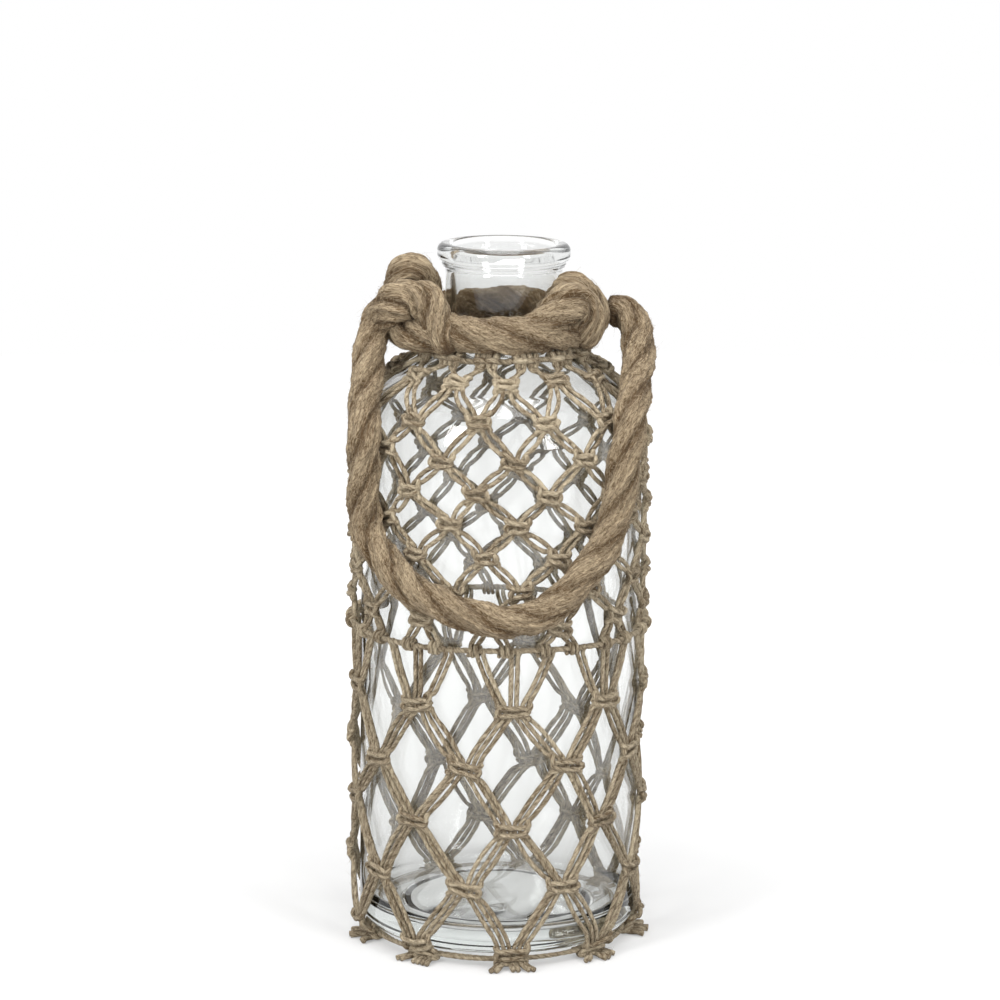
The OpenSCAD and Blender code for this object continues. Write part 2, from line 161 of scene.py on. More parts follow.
def sweep(surface, path, run, radius, sides, rng, strands=2, depth=0.12, pitch=9.0, first=(0, 0, 1),
          closed=False, rough=0.0, blunt=0.5, lay_turn=0.6, added_shade_and_tone=0.0):
    """A cord: round each point of the path the radius is that of the outermost of its strands, circles
    whose middles turn round the path once in a pitch, with long waves and small tufts of roughness on
    top. Each wave is a cosine of the angle times m plus the length times k."""
    tangent, side, up = carried_frame(path, first, closed)
    n = len(path)
    a = np.linspace(0, 2 * pi, sides, endpoint=False)[None, :]
    turn = 2 * pi * run[:, None] / pitch + rng.uniform(0, 2 * pi)
    if closed:
        turns = max(1, round(run[-1] / pitch))
        turn = 2 * pi * turns * run[:, None] / run[-1] + rng.uniform(0, 2 * pi)
    near = np.abs((a - turn) % (2 * pi / strands) - pi / strands)
    hollow = 1 - near / (pi / strands)
    shape = 1 - depth * (1 - np.sqrt(np.clip(1 - hollow ** 2, 0, 1))) * 1.6
    if rough:
        for low, high, steep, share in [(1, 12, 0.16, 0.2)] * 24 + [(10, 27, 0.75, 0.1)] * 36:
            m, k = rng.integers(low, high), rng.normal(0, steep)
            if closed:
                k = round(k * run[-1] / (2 * pi)) * 2 * pi / run[-1]
            shape = shape + rough * rng.normal(0, share) * np.cos(m * (a - 0.8 * turn) + k * run[:, None]
                                                                  + rng.uniform(0, 2 * pi))
    size = np.broadcast_to(radius, (n,)) if np.ndim(radius) == 0 else np.asarray(radius)
    r = size[:, None] * shape
    co = path[:, None] + r[..., None] * (np.cos(a)[..., None] * side[:, None] + np.sin(a)[..., None] * up[:, None])
    b = a - lay_turn * turn
    lay = np.stack(np.broadcast_arrays(size[:, None] * np.cos(b), size[:, None] * np.sin(b),
                                       run[:, None] + rng.uniform(0, 400)), -1)
    # Painted shade: the hollows between the strands are darkened, and the given extra amount is added on top.
    shade_and_tone = np.clip(hollow ** 2.5 * 1.15 - 0.05, 0, 1) + np.broadcast_to(added_shade_and_tone, (n,))[:, None]
    core = path, run, side, up, r, shade_and_tone
    if closed:
        co, lay, shade_and_tone = co[:-1], lay[:-1], shade_and_tone[:-1]
        surface.add(co.reshape(-1, 3), grid_faces(n - 1, sides, True), [], lay.reshape(-1, 3), shade_and_tone.flatten())
        return core
    quads = grid_faces(n, sides)
    tips = np.stack([path[0] - tangent[0] * size[0] * blunt, path[-1] + tangent[-1] * size[-1] * blunt])
    j = np.arange(sides)
    m = (j + 1) % sides
    last = (n - 1) * sides
    tris = np.concatenate([np.stack([m, j, np.full(sides, n * sides)], 1),
                           np.stack([last + j, last + m, np.full(sides, n * sides + 1)], 1)])
    ends = np.stack([lay[0].mean(0), lay[-1].mean(0)])
    surface.add(np.vstack([co.reshape(-1, 3), tips]), quads, tris, np.vstack([lay.reshape(-1, 3), ends]),
                np.concatenate([shade_and_tone.ravel(), [0.4, 0.4]]))
    return core


def hairs(surface, core, count, rng, length=(5, 14), lift=0.5, free=0.1, thick=0.07, spread=0.3, lean=0.0):
    """Loose fibres on a cord. Each runs along the cord at a slant, a little under its surface at both ends
    and lifted off it between them as u times one less u; a share of them stays free at the far end and
    rises as the square of u. It is a three-sided thread that thins to a point."""
    path, run, side, up, r, shade_and_tone = core
    n, sides = r.shape
    s0 = rng.uniform(0, run[-1], count)
    a0 = rng.uniform(0, 2 * pi, count)
    long = np.minimum(rng.uniform(*length, count), run[-1] * 0.9)
    way = np.where(s0 + long > run[-1], -1, 1) * np.where((s0 > long) & (rng.random(count) < 0.5), -1, 1)
    way = np.where(s0 < long, 1, np.where(s0 + long > run[-1], -1, way))
    slant = rng.normal(0, spread, count)
    u = np.linspace(0, 1, 4)[None, :]
    s = s0[:, None] + (way * long * np.cos(slant))[:, None] * u
    i = np.clip(s / run[-1] * (n - 1), 0, n - 1)
    lo = np.minimum(i.astype(int), n - 2)
    f = (i - lo)[..., None]
    mean = r.mean()
    wave = rng.normal(0, 1.3, count)[:, None] * u * (1 - u)
    a = a0[:, None] + lean * (s - s0[:, None]) / mean + (long * np.sin(slant))[:, None] * u / mean + wave
    j = a / (2 * pi) * sides
    j0 = np.floor(j).astype(int)
    g = j - j0
    near = r[lo, j0 % sides] * (1 - g) + r[lo, (j0 + 1) % sides] * g
    high = lift * np.minimum(rng.gamma(1.5, 0.67, count), 2.4)[:, None]
    loose = (rng.random(count) < free)[:, None]
    out = near + np.where(loose, high * 3.2 * u ** 2, high * 4 * u * (1 - u)) - thick * 0.6
    mid = path[lo] * (1 - f) + path[lo + 1] * f
    e1 = unit(side[lo] * (1 - f) + side[lo + 1] * f)
    e2 = unit(up[lo] * (1 - f) + up[lo + 1] * f)
    away = np.cos(a)[..., None] * e1 + np.sin(a)[..., None] * e2
    line = mid + out[..., None] * away
    across = unit(np.cross(np.gradient(line, axis=1), away))
    t = np.array([0, 2, 4]) * pi / 3
    fat = (thick * rng.uniform(0.6, 1.3, count)[:, None] * (1.05 - u ** 2))[..., None, None]
    ring = np.cos(t)[None, None, :, None] * away[:, :, None] + np.sin(t)[None, None, :, None] * across[:, :, None]
    co = line[:, :, None] + ring * fat
    k = np.arange(count)[:, None, None] * 12
    row, col = np.arange(3)[None, :, None], np.arange(3)[None, None, :]
    nxt = (col + 1) % 3
    quads = np.stack([k + row * 3 + col, k + row * 3 + nxt, k + row * 3 + 3 + nxt, k + row * 3 + 3 + col], -1)
    base = np.arange(count)[:, None] * 12
    tris = np.concatenate([base + np.array([[2, 1, 0]]), base + np.array([[9, 10, 11]])])
    lay = np.broadcast_to(rng.uniform(0, 300, (count, 1, 1, 3)), co.shape)
    # Each hair takes the painted shade of the cord where it lies, plus a random tone of its own.
    dark = np.repeat((shade_and_tone[lo, j0 % sides] * 0.8 + rng.normal(-0.08, 0.5, count)[:, None]).ravel(), 3)
    surface.add(co.reshape(-1, 3), quads.reshape(-1, 4), tris, lay.reshape(-1, 3), dark)


# The bottle's outline, which the net also lies on.

class Outline:
    """The glass as radius against height: a round heel, a straight wall, a shoulder that is an arc, then a
    straight slope and a hollow up to the neck."""

    def __init__(self, g):
        self.g = g
        k = 1 / MM
        self.body, self.high, self.neck = g.body_diameter * k / 2, g.wall_height * k, g.neck_diameter * k / 2
        self.curve, self.heel, self.fillet = g.shoulder_radius * k, g.heel_radius * k, g.neck_fillet * k
        self.fall = g.shoulder_slope
        self.panel = g.panel_depth * k
        self.inner = self.body - self.curve
        self.a = (self.inner + self.curve * sin(self.fall), self.high + self.curve * cos(self.fall))
        cx = self.neck + self.fillet
        self.c = (cx, self.a[1] + (self.fillet - (cx - self.a[0]) * sin(self.fall)) / cos(self.fall))
        self.b = (self.c[0] - self.fillet * sin(self.fall), self.c[1] - self.fillet * cos(self.fall))
        self.heel_c = (self.body - self.heel, self.heel - self.panel)

    def radius(self, z):
        """Radius of the glass at each height."""
        z = np.asarray(z, float)
        heel = self.heel_c[0] + np.sqrt(np.clip(self.heel ** 2 - (self.heel_c[1] - z) ** 2, 0, None))
        arc = self.inner + np.sqrt(np.clip(self.curve ** 2 - (z - self.high) ** 2, 0, None))
        slope = self.a[0] - (z - self.a[1]) / tan(self.fall)
        hollow = self.c[0] - np.sqrt(np.clip(self.fillet ** 2 - (self.c[1] - z) ** 2, 0, None))
        return np.select([z < self.heel_c[1], z < self.high, z < self.a[1], z < self.b[1], z < self.c[1]],
                         [heel, np.full_like(z, self.body), arc, slope, hollow], self.neck)

    def tilt(self, z):
        """Upward tilt of the outward normal at each height."""
        z = np.asarray(z, float)
        heel = -np.arcsin(np.clip((self.heel_c[1] - z) / self.heel, 0, 1))
        arc = np.arcsin(np.clip((z - self.high) / self.curve, 0, 1))
        slope = np.full_like(z, pi / 2 - self.fall)
        hollow = np.arcsin(np.clip((self.c[1] - z) / self.fillet, 0, 1))
        return np.select([z < self.heel_c[1], z < self.high, z < self.a[1], z < self.b[1], z < self.c[1]],
                         [heel, np.zeros_like(z), arc, slope, hollow], 0.0)

    def place(self, x, z, off):
        """Points off the glass: x is the length round the bottle from the front, z the height, off the
        distance square to the surface. Each point is turned by x over the radius there."""
        x, z, off = np.broadcast_arrays(*(np.asarray(v, float) for v in (x, z, off)))
        return self.turned(x / self.radius(z), z, off)

    def turned(self, az, z, off):
        """Points off the glass at an angle round the bottle."""
        az, z, off = np.broadcast_arrays(*(np.asarray(v, float) for v in (az, z, off)))
        r, e = self.radius(z), self.tilt(z)
        off = off + 1.6 * np.exp(-(((az + pi / 2 + pi) % (2 * pi) - pi) / 0.61) ** 2)
        rr = r + off * np.cos(e)
        return np.stack([rr * np.sin(az), -rr * np.cos(az), z + off * np.sin(e)], -1)


# Settings that a user may change.

def length(name, text, value, low=0.0, high=1.0):
    return bpy.props.FloatProperty(name=name, description=text, default=value, min=low, max=high,
                                   unit="LENGTH", precision=4)


def colour(name, text, value):
    return bpy.props.FloatVectorProperty(name=name, description=text, default=value, size=3, min=0, max=1,
                                         subtype="COLOR")


class GlassSettings(bpy.types.PropertyGroup):
    """Sizes and look of the bottle."""
    height: length("Height", "From the middle of the underside to the top of the lip", 0.2985)
    body_diameter: length("Body diameter", "Outer diameter of the body", 0.121)
    wall_height: length("Wall height", "Height at which the shoulder begins", 0.217)
    shoulder_radius: length("Shoulder radius", "Radius of the shoulder's curve", 0.0276)
    shoulder_slope: bpy.props.FloatProperty(name="Shoulder slope", description="Fall of the upper slope",
                                            default=radians(34.5), subtype="ANGLE")
    neck_diameter: length("Neck diameter", "Outer diameter of the neck", 0.050)
    neck_fillet: length("Neck fillet", "Radius of the hollow under the neck", 0.006)
    heel_radius: length("Heel radius", "Radius of the rounded lower edge", 0.009)
    wall: length("Wall", "Thickness of the wall", 0.0032)
    base: length("Base", "Thickness at the edge of the floor", 0.009)
    panel_depth: length("Panel depth", "Depth of the flat panel underneath", 0.001)
    panel_radius: length("Panel radius", "Radius of the flat panel underneath", 0.041)
    lip_diameter: length("Lip diameter", "Outer diameter of the lip", 0.057)
    lip_height: length("Lip height", "Height of the lip", 0.0073)
    unevenness: length("Unevenness", "Depth of the waves that hand work leaves in the glass", 0.00012)
    tint: colour("Tint", "Colour that light takes on in a centimetre of glass", (0.80, 0.84, 0.825))


class RopeSettings(bpy.types.PropertyGroup):
    """Sizes and look of the thick rope."""
    diameter: length("Diameter", "Diameter of the rope", 0.013)
    pitch: length("Lay", "Length of one turn of the strands", 0.064)
    collar_height: length("Collar height", "Height of the middle of the collar", 0.2646)
    # Light and dark are the two ends of the fibres' streaky tone; the painted shade in the hollows and at the rope ends
    # also leads towards the dark one.
    light: colour("Light fibres", "Colour of the fibres on top", (0.455, 0.36, 0.235))
    dark: colour("Dark fibres", "Colour of the fibres in the hollows", (0.09, 0.052, 0.021))


class NetSettings(bpy.types.PropertyGroup):
    """Sizes and look of the twine net."""
    twine: length("Twine diameter", "Diameter of the twine", 0.0021)
    upper_columns: bpy.props.IntProperty(name="Upper columns", description="Knots in an upper row", default=13)
    lower_columns: bpy.props.IntProperty(name="Lower columns", description="Knots in a lower row", default=9)
    leader_height: length("Leader height", "Height of the level cord between the nets", 0.1343)
    slack: length("Slack", "How far hand work leaves a knot off its place", 0.0008)
    # Light and dark are the two ends of the fibres' streaky tone; the painted shade in the hollows between the strands
    # also leads towards the dark one.
    light: colour("Light fibres", "Colour of the fibres on top", (0.58, 0.49, 0.345))
    dark: colour("Dark fibres", "Colour of the fibres in the hollows", (0.10, 0.064, 0.03))


class StageSettings(bpy.types.PropertyGroup):
    """Camera, floor and light."""
    focal: bpy.props.FloatProperty(name="Focal length", description="Camera lens in millimetres", default=135.9,
                                   subtype="DISTANCE_CAMERA")
    distance: length("Distance", "From the bottle's axis to the camera", 1.6, 0, 10)
    height: length("Camera height", "Height of the camera over the underside", 0.5095, 0, 10)
    pitch: bpy.props.FloatProperty(name="Pitch", description="Tilt of the camera below level",
                                   default=0.1992, subtype="ANGLE")
    roll: bpy.props.FloatProperty(name="Roll", description="Turn of the camera about its own line of sight",
                                  default=0.0105, subtype="ANGLE")
    world: bpy.props.FloatProperty(name="World light", description="Strength of the even light", default=0.55)
    lamps: bpy.props.FloatProperty(name="Lamp power", description="Power of each soft lamp", default=16.5)


# Materials.

def link(tree, a, b):
    tree.links.new(a, b)


def jute_group():
    """Jute as colour, height and roughness: noise drawn out along the fibres, a finer one for single
    hairs, patches along each cord, and painted shade that darkens the hollows between the strands."""
    name = "Jute fibres"
    if name in bpy.data.node_groups:
        return bpy.data.node_groups[name]
    g = bpy.data.node_groups.new(name, "ShaderNodeTree")
    face = g.interface
    for label, kind, value in (("Light", "NodeSocketColor", (0.5, 0.4, 0.27, 1)),
                               ("Dark", "NodeSocketColor", (0.12, 0.08, 0.05, 1)),
                               ("Scale", "NodeSocketFloat", 1.0), ("Hollow", "NodeSocketFloat", 0.6),
                               ("Contrast", "NodeSocketFloat", 3.2)):
        s = face.new_socket(label, in_out="INPUT", socket_type=kind)
        s.default_value = value
    for label, kind in (("Color", "NodeSocketColor"), ("Height", "NodeSocketFloat"),
                        ("Roughness", "NodeSocketFloat")):
        face.new_socket(label, in_out="OUTPUT", socket_type=kind)
    new = g.nodes.new
    gi, go = new("NodeGroupInput"), new("NodeGroupOutput")
    lay = new("ShaderNodeAttribute")
    lay.attribute_name = "lay"
    shade_and_tone = new("ShaderNodeAttribute")
    shade_and_tone.attribute_name = "shade_and_tone"

    def stretched(along, scale, detail):
        mapping = new("ShaderNodeMapping")
        mapping.inputs["Scale"].default_value = (1, 1, along)
        link(g, lay.outputs["Vector"], mapping.inputs["Vector"])
        times = new("ShaderNodeMath")
        times.operation = "MULTIPLY"
        times.inputs[1].default_value = scale
        link(g, gi.outputs["Scale"], times.inputs[0])
        noise = new("ShaderNodeTexNoise")
        noise.inputs["Detail"].default_value = detail
        noise.inputs["Roughness"].default_value = 0.62
        noise.inputs["Distortion"].default_value = 1.3
        link(g, mapping.outputs["Vector"], noise.inputs["Vector"])
        link(g, times.outputs[0], noise.inputs["Scale"])
        return noise.outputs["Fac"]

    def maths(op, a, b, clamp=False):
        node = new("ShaderNodeMath")
        node.operation = op
        node.use_clamp = clamp
        for socket, value in zip(node.inputs, (a, b)):
            if isinstance(value, (int, float)):
                socket.default_value = value
            else:
                link(g, value, socket)
        return node.outputs[0]

    coarse, fine = stretched(0.38, 1150, 4), stretched(0.14, 2500, 2)
    patch = new("ShaderNodeTexNoise")
    patch.inputs["Scale"].default_value = 45
    patch.inputs["Detail"].default_value = 2
    link(g, lay.outputs["Vector"], patch.inputs["Vector"])
    streak = maths("ADD", maths("MULTIPLY", coarse, 0.55), maths("MULTIPLY", fine, 0.45))
    spread = maths("ADD", maths("MULTIPLY", maths("SUBTRACT", streak, 0.5), gi.outputs["Contrast"]), 0.55, True)
    # Painted shade: the cords' shade attribute, times its strength, darkens the tone.
    hollow = maths("MULTIPLY", shade_and_tone.outputs["Fac"], gi.outputs["Hollow"])
    tone = maths("SUBTRACT", spread, hollow)
    tone = maths("ADD", tone, maths("MULTIPLY", maths("SUBTRACT", patch.outputs["Fac"], 0.5), 0.55), True)
    mix = new("ShaderNodeMix")
    mix.data_type = "RGBA"
    link(g, tone, mix.inputs[0])
    sockets = [s for s in mix.inputs if s.type == "RGBA"]
    link(g, gi.outputs["Dark"], sockets[0])
    link(g, gi.outputs["Light"], sockets[1])
    result = [s for s in mix.outputs if s.type == "RGBA"][0]
    link(g, result, go.inputs["Color"])
    link(g, streak, go.inputs["Height"])
    link(g, maths("ADD", maths("MULTIPLY", coarse, -0.2), 0.9), go.inputs["Roughness"])
    return g


def jute(name, light, dark, scale, hollow, bump, contrast):
    """Jute with its own colours and fibre size."""
    m = bpy.data.materials.new(name)
    m.use_nodes = True
    tree = m.node_tree
    shader = tree.nodes["Principled BSDF"]
    group = tree.nodes.new("ShaderNodeGroup")
    group.node_tree = jute_group()
    group.inputs["Light"].default_value = (*light, 1)
    group.inputs["Dark"].default_value = (*dark, 1)
    group.inputs["Scale"].default_value = scale
    # The strength of the painted shade that the cords carry.
    group.inputs["Hollow"].default_value = hollow
    group.inputs["Contrast"].default_value = contrast
    relief = tree.nodes.new("ShaderNodeBump")
    relief.inputs["Strength"].default_value = bump
    relief.inputs["Distance"].default_value = 0.0012
    link(tree, group.outputs["Height"], relief.inputs["Height"])
    link(tree, group.outputs["Color"], shader.inputs["Base Color"])
    link(tree, group.outputs["Roughness"], shader.inputs["Roughness"])
    link(tree, relief.outputs["Normal"], shader.inputs["Normal"])
    shader.inputs["Specular IOR Level"].default_value = 0.25
    shader.inputs["Sheen Weight"].default_value = 0.05
    shader.inputs["Sheen Roughness"].default_value = 0.6
    return m


def clear_glass(name, tint):
    """Clear glass, tinted by the length of the way that light takes in it."""
    m = bpy.data.materials.new(name)
    m.use_nodes = True
    tree = m.node_tree
    shader = tree.nodes["Principled BSDF"]
    shader.inputs["Base Color"].default_value = (0.888, 0.893, 0.887, 1)
    shader.inputs["Roughness"].default_value = 0.0
    shader.inputs["IOR"].default_value = 1.5
    shader.inputs["Transmission Weight"].default_value = 1.0
    inside = tree.nodes.new("ShaderNodeVolumeAbsorption")
    inside.inputs["Color"].default_value = (*tint, 1)
    inside.inputs["Density"].default_value = 9
    way = tree.nodes.new("ShaderNodeLightPath")
    either = tree.nodes.new("ShaderNodeMath")
    either.operation = "MAXIMUM"
    clear = tree.nodes.new("ShaderNodeBsdfTransparent")
    clear.inputs["Color"].default_value = (0.955, 0.96, 0.957, 1)
    mix = tree.nodes.new("ShaderNodeMixShader")
    link(tree, way.outputs["Is Shadow Ray"], either.inputs[0])
    link(tree, way.outputs["Is Diffuse Ray"], either.inputs[1])
    link(tree, either.outputs[0], mix.inputs[0])
    link(tree, shader.outputs[0], mix.inputs[1])
    link(tree, clear.outputs[0], mix.inputs[2])
    link(tree, mix.outputs[0], tree.nodes["Material Output"].inputs["Surface"])
    link(tree, inside.outputs["Volume"], tree.nodes["Material Output"].inputs["Volume"])
    return m


def materials():
    """The three finishes, made once."""
    s = bpy.context.scene
    rope, net = s.vase_rope, s.vase_net
    have = bpy.data.materials
    return {
        "rope": have.get("Jute rope") or jute("Jute rope", rope.light, rope.dark, 1.0, 0.52, 1.0, 4.8),
        "twine": have.get("Jute twine") or jute("Jute twine", net.light, net.dark, 1.2, 0.3, 0.8, 4.4),
        "glass": have.get("Clear glass") or clear_glass("Clear glass", s.vase_glass.tint),
    }


# The glass.

class VASE_OT_glass(bpy.types.Operator):
    """Turns the bottle's outline round its axis, outer and inner wall as one closed surface."""
    bl_idname = "vase.glass"
    bl_label = "Glass bottle"

    def execute(self, context):
        g = context.scene.vase_glass
        o = Outline(g)
        k = 1 / MM
        wall, base, lip = g.wall * k, g.base * k, g.lip_diameter * k / 2
        top, lip_z = g.height * k, (g.height - g.lip_height) * k
        bore = o.neck - wall

        def arc(cx, cz, r, a0, a1, n):
            a = np.radians(np.linspace(a0, a1, n))
            return np.stack([cx + r * np.cos(a), cz + r * np.sin(a)], 1)

        def line(x0, z0, x1, z1, n):
            return np.stack([np.linspace(x0, x1, n), np.linspace(z0, z1, n)], 1)

        fall = np.degrees(o.fall)
        p = g.panel_radius * k
        step = 53.2 / 2
        outer = np.vstack([
            line(0.0, 0, p - 0.6, 0, 9), arc(p - 0.6, -0.5, 0.5, 90, 40, 3),
            line(p + 0.5, -o.panel + 0.3, p + 1.2, -o.panel + 0.04, 2),
            line(p + 2, -o.panel, o.heel_c[0], -o.panel, 3),
            arc(*o.heel_c, o.heel, -88, 0, 14), line(o.body, 14, o.body, o.high - 4, 34),
            arc(o.inner, o.high, o.curve, 0, 90 - fall, 22), line(*o.a, *o.b, 8)[1:-1],
            arc(*o.c, o.fillet, 270 - fall, 180, 10), line(o.neck, o.c[1] + 3, o.neck, lip_z - 5.4, 8),
            arc(o.neck + 1.6, lip_z - 3.9, 1.6, 180, 100, 5)[1:],
            arc(step - 0.9, lip_z - 1.6, 0.9, 60, 0, 4), line(step, lip_z - 1.1, step, lip_z - 0.5, 2),
            arc(step + 0.5, lip_z - 0.1, 0.5, 180, 110, 3),
            arc(lip - 2.2, lip_z + 2.2, 2.2, -70, 0, 7), arc(lip - 3, top - 3, 3, 0, 90, 10),
            arc(bore + 2.6, top - 2.6, 2.6, 100, 180, 9)])
        inner = np.vstack([
            line(bore, top - 4, bore, o.c[1] + 2, 12), arc(*o.c, o.fillet + wall, 180, 270 - fall, 10),
            line(o.a[0] - wall * sin(o.fall), o.a[1] - wall * cos(o.fall),
                 o.b[0] - wall * sin(o.fall), o.b[1] - wall * cos(o.fall), 8)[::-1][1:-1],
            arc(o.inner, o.high, o.curve - wall, 90 - fall, 0, 20),
            line(o.body - wall, o.high - 4, o.body - wall, base + 12, 32),
            arc(o.body - wall - 8, base + 8, 8, 0, -80, 12)])
        edge = inner[-1]
        x = np.linspace(edge[0] - 1.5, 0, 26)
        floor = np.stack([x, base + 2.5 - (2.5 - (edge[1] - base)) * (x / edge[0]) ** 2], 1)
        profile = np.vstack([outer, inner, floor])
        cols = 240
        a = np.linspace(0, 2 * pi, cols, endpoint=False)[None, :]
        r, z = profile[1:-1, 0][:, None], profile[1:-1, 1][:, None]
        rng = np.random.default_rng(11)
        wave = np.zeros((len(r), cols))
        for _ in range(14):
            wave += rng.normal(0, 0.4) * np.cos(rng.integers(1, 7) * a + rng.uniform(-0.09, 0.09) * z
                                                + rng.uniform(0, 2 * pi))
        inside = (np.arange(len(r)) >= len(outer))[:, None]
        amount = np.where(inside, 1.6, 0.35) * g.unevenness * k
        low = np.where(inside & (z < base + 9), 1.0, 0.0)
        ripple = np.zeros_like(wave)
        for _ in range(26):
            q, f = rng.uniform(0, 2 * pi), rng.uniform(0.08, 0.34)
            ripple += rng.normal(0, 0.3) * np.cos(f * (r * np.cos(a) * cos(q) + r * np.sin(a) * sin(q))
                                                  + rng.uniform(0, 2 * pi))
        rr = r + wave * amount * np.clip(r / 20, 0, 1)
        zz = z + ripple * low * 0.2 * np.clip((edge[0] + 4 - r) / 12, 0, 1)
        co = np.stack([rr * np.cos(a), rr * np.sin(a), np.broadcast_to(zz, rr.shape)], -1).reshape(-1, 3)
        n = len(r)
        co = np.vstack([co, [[0, 0, profile[0, 1]], [0, 0, profile[-1, 1]]]])
        j = np.arange(cols)
        m = (j + 1) % cols
        last = (n - 1) * cols
        tris = np.concatenate([np.stack([m, j, np.full(cols, n * cols)], 1),
                               np.stack([last + j, last + m, np.full(cols, n * cols + 1)], 1)])
        s = Surface()
        s.add(co, grid_faces(n, cols), tris, None, None)
        obj = s.build("bottle_glass", "vase", materials()["glass"], "clear_glass")
        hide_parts("glass_bottle")
        return {"FINISHED"}


# The thick rope.

HANDLE_ROUTE = [
    (-47.5, -4, 271.2), (-50, -4.5, 270), (-52.5, -6, 268), (-54.5, -9, 264.5), (-55.5, -12.5, 260),
    (-56.5, -18.5, 252.5), (-57.5, -26, 242.5), (-58, -35.5, 232.5), (-58, -42, 223.5), (-58, -43.5, 214),
    (-58, -43.5, 203.5), (-58, -43.5, 193), (-57, -45, 184), (-54, -48.5, 178), (-49, -53.5, 171.5),
    (-43.5, -58, 165.5), (-36.5, -62.5, 160.5), (-29, -66.5, 157), (-20.5, -69.5, 154),
    (-11.5, -71.5, 151.5), (-2, -72.5, 149.5), (8, -72, 150), (17.5, -70.5, 152.5), (26, -67.5, 158.5),
    (32.5, -65, 165.5), (38.5, -61.5, 172), (43.5, -58, 180), (47, -55, 188.5), (49, -53.5, 198),
    (50.5, -52, 208.5), (52, -50, 218.5), (53.5, -45.5, 227.5), (55, -37.5, 236), (56.5, -28, 244),
    (57.5, -19.5, 251), (57.5, -13.5, 257), (57, -9.5, 262), (54.5, -6.5, 267), (51, -4.5, 270),
    (44, -4, 270.2)]


def rope(surface, points, radius, rng, pitch, closed=False, first=(0, -0.48, 0.88), step=0.6, sides=84,
         taper=(0, 0), shade=(0, 0), hair=19.0, depth=0.12, loose=None):
    """A laid rope along the points, thinner at its ends by the taper lengths and darker there with painted shade
    over the shade lengths, with its loose fibres. Several radii are spread evenly along it."""
    path, run = smooth_path(points, step, closed)
    size = np.interp(run, np.linspace(0, run[-1], np.size(radius)), np.atleast_1d(radius))
    added_shade_and_tone = np.zeros(len(path))
    for end, dark, s in zip(taper, shade, (run, run[-1] - run)):
        if end:
            size *= 0.5 + 0.5 * np.sin(np.clip(s / end, 0, 1) * pi / 2)
        # Painted shade: the rope darkens towards each end over the shade length.
        if dark:
            added_shade_and_tone += np.clip(1 - s / dark, 0, 1)
    core = sweep(surface, path, run, size, sides, rng, strands=3, depth=depth, pitch=pitch, first=first,
                 closed=closed, rough=0.085, blunt=0.35, added_shade_and_tone=added_shade_and_tone)
    lean = 0.55 * 2 * pi * size.mean() / pitch
    wool = loose or surface
    hairs(wool, core, int(run[-1] * hair * 0.65), rng, (2, 7), 0.25, 0.08, 0.075, 0.75, lean)
    hairs(wool, core, int(run[-1] * hair * 0.35), rng, (2, 6), 0.7, 0.45, 0.05, 1.2, lean)
    return path, run


class VASE_OT_handle(bpy.types.Operator):
    bl_idname = "vase.handle"
    bl_label = "Rope handle"

    def execute(self, context):
        r = context.scene.vase_rope
        s, loose = Surface(), Surface()
        # Painted shade darkens the handle over 8 mm at its left end and 14 mm at its right end, inside the knots.
        path, run = rope(s, HANDLE_ROUTE, r.diameter / MM / 2 * 1.05, np.random.default_rng(3), r.pitch / MM,
                         taper=(8, 3), shade=(8, 14), loose=loose)
        loose.build("handle_fibres", "handle", materials()["rope"], "jute_rope")
        obj = s.build("handle_cord", "handle", materials()["rope"], "jute_rope")
        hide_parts("handle_rope")
        return {"FINISHED"}


class VASE_OT_collar(bpy.types.Operator):
    """Lays the rope ring round the neck."""
    bl_idname = "vase.collar"
    bl_label = "Rope collar"

    def execute(self, context):
        r = context.scene.vase_rope
        d = r.diameter / MM
        thick = d / 2 * 1.16
        ring = 25.3 + thick
        a = np.linspace(0, 2 * pi, 24, endpoint=False) - 1.05
        z = r.collar_height / MM + 0.6 - 2.2 * np.cos(a) + 0.5 * np.cos(2 * a + 0.6)
        points = np.stack([(ring + 0.3) * np.sin(a), -(ring + 0.3) * np.cos(a), z], 1)
        s = Surface()
        rope(s, points, thick, np.random.default_rng(5), r.pitch / MM * 1.3, closed=True, first=(0, 0, 1), depth=0.1)
        # Painted shade: the collar is darkened on its side towards the neck, which lies in shadow against the glass.
        for co, shade_and_tone in zip(s.co, s.shade_and_tone):
            shade_and_tone += 1.1 * np.clip((ring - np.hypot(co[:, 0], co[:, 1])) / 6, 0, 1)
        obj = s.build("collar_cord", "vase", materials()["rope"], "jute_rope")
        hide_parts("neck_collar")
        return {"FINISHED"}


